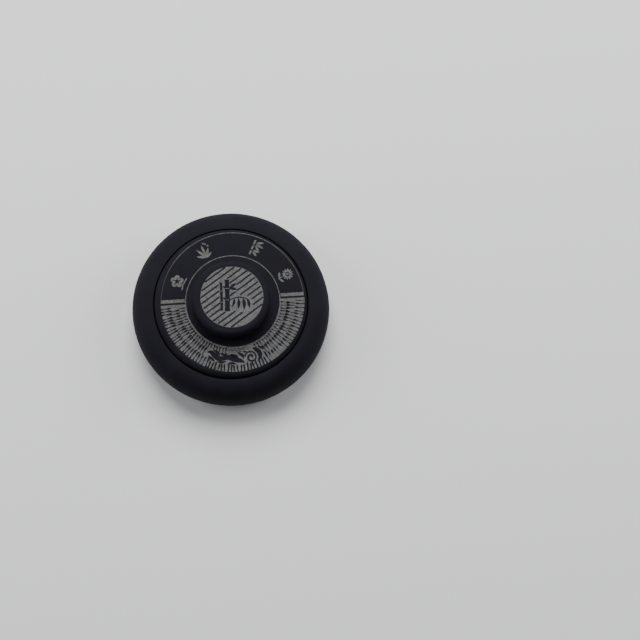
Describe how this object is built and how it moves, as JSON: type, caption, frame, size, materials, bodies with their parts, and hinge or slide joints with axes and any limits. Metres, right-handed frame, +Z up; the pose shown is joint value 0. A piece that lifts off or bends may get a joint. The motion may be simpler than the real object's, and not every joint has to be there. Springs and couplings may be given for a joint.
{
  "type": "lidded inkstone",
  "caption": "Round turned-stone inkstone with a bulging wall, an inset lift-off lid with a squat knob, and grey-filled engraving on the lid and knob.",
  "frame": {"origin": "middle of the underside, on the axis that the bowl was turned about", "axes": "+Z up along the turning axis, which the lid lifts along; -Y towards the reader of the engraving, so +Y is the engraving's top and +X its right"},
  "size_m": [0.1, 0.1, 0.035],
  "materials": {
    "black_stone": "turned and rubbed matt black stone",
    "grey_pigment": "matt grey paint in engraved stone"
  },
  "bodies": {
    "bowl": {"inkstone_body": "black_stone"},
    "lid": {"lid": "black_stone", "knob_field_pigment": "grey_pigment", "wave_band_pigment": "grey_pigment", "border_line_pigment": "grey_pigment", "foot_ring_pigment": "grey_pigment", "divider_bars_pigment": "grey_pigment", "four_plants_pigment": "grey_pigment"}
  },
  "joints": [
    {"name": "lid_lift", "type": "slide", "parent": "bowl", "child": "lid", "axis": [0, 0, 1], "range_m": [0, 0.06]}
  ]
}
